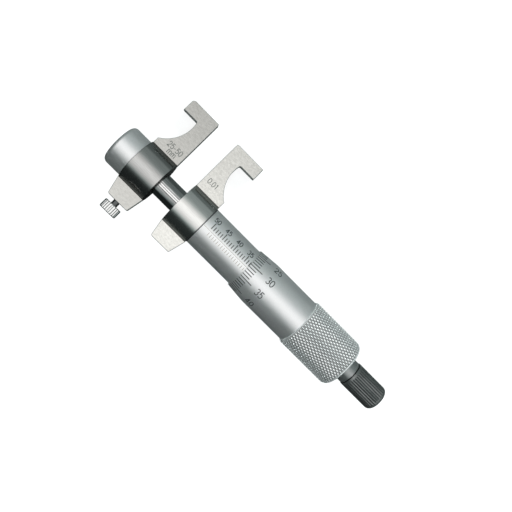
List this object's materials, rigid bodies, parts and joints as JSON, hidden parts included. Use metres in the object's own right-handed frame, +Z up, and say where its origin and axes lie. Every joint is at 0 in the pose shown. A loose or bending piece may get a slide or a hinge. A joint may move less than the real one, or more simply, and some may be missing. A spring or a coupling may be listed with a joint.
{
  "type": "inside micrometer",
  "caption": "Inside micrometer with hooked caliper jaws, a sliding guide tube, a graduated sleeve, a knurled thimble, a ratchet stop and a clamp screw, lying flat.",
  "frame": {"origin": "centre of the bounding box's underside, on the surface that the tool lies on", "axes": "+X along the tool towards the ratchet, +Y towards the jaws' tips, +Z up; the tool lies on the moving collar, the thimble's grip and the moving jaw's tip"},
  "size_m": [0.1236, 0.0464, 0.0186],
  "materials": {
    "jaw_steel": "ground, satin",
    "satin_chrome": "satin chrome",
    "polished_steel": "polished",
    "bright_steel": "bright, knurled",
    "screw_steel": "machined",
    "dark_steel": "darkened",
    "black_oxide": "black oxide, semi-matt",
    "brass": "machined"
  },
  "bodies": {
    "fixed": {"fixed_jaw": "jaw_steel", "barrel": "screw_steel", "graduated_sleeve": "satin_chrome", "adjusting_nut": "screw_steel", "guide_key": "screw_steel", "set_screw": "screw_steel"},
    "moving_jaw": {"moving_jaw": "jaw_steel", "end_cap": "satin_chrome", "guide_tube": "polished_steel"},
    "thimble": {"thimble": "satin_chrome", "spindle": "screw_steel", "thrust_washer": "screw_steel", "spindle_nut": "screw_steel", "ratchet_base": "dark_steel", "ratchet_screw": "dark_steel"},
    "clamp_shoe": {"clamp_shoe": "brass"},
    "clamp_screw": {"clamp_screw": "bright_steel"},
    "ratchet_cap": {"ratchet_cap": "black_oxide", "ratchet_spring": "screw_steel"},
    "ratchet_clutch": {"ratchet_clutch": "screw_steel"}
  },
  "joints": [
    {"name": "jaw_slide", "type": "slide", "parent": "fixed", "child": "moving_jaw", "axis": [0.9999, 0, 0.0123], "range_m": [-0.01718, 0.00782]},
    {"name": "thimble_turn", "type": "hinge", "parent": "moving_jaw", "child": "thimble", "pos_m": [-0.02355, -0.00407, 0.00863], "axis": [0.9999, 0, 0.0123], "range_deg": [-12370, 5631]},
    {"name": "ratchet_slip", "type": "hinge", "parent": "thimble", "child": "ratchet_cap", "pos_m": [0.04844, -0.00407, 0.00951], "axis": [0.9999, 0, 0.0123], "continuous": true},
    {"name": "clutch_lift", "type": "slide", "parent": "ratchet_cap", "child": "ratchet_clutch", "axis": [0.9999, 0, 0.0123], "range_m": [0, 0.0005], "stiffness_N_per_m": 1000, "springref_m": -0.001, "deforming": ["ratchet_spring"]},
    {"name": "clamp_feed", "type": "slide", "parent": "moving_jaw", "child": "clamp_shoe", "axis": [0.003, 0.9704, -0.2414], "range_m": [-0.000675, 0.00011]},
    {"name": "clamp_turn", "type": "hinge", "parent": "clamp_shoe", "child": "clamp_screw", "pos_m": [-0.04856, -0.01766, 0.0117], "axis": [0.003, 0.9704, -0.2414], "range_deg": [-541, 89]}
  ],
  "couplings": [
    {"joint": "thimble_turn", "follows": "jaw_slide", "rad_per_m": 12566},
    {"joint": "clamp_turn", "follows": "clamp_feed", "rad_per_m": 13963}
  ]
}
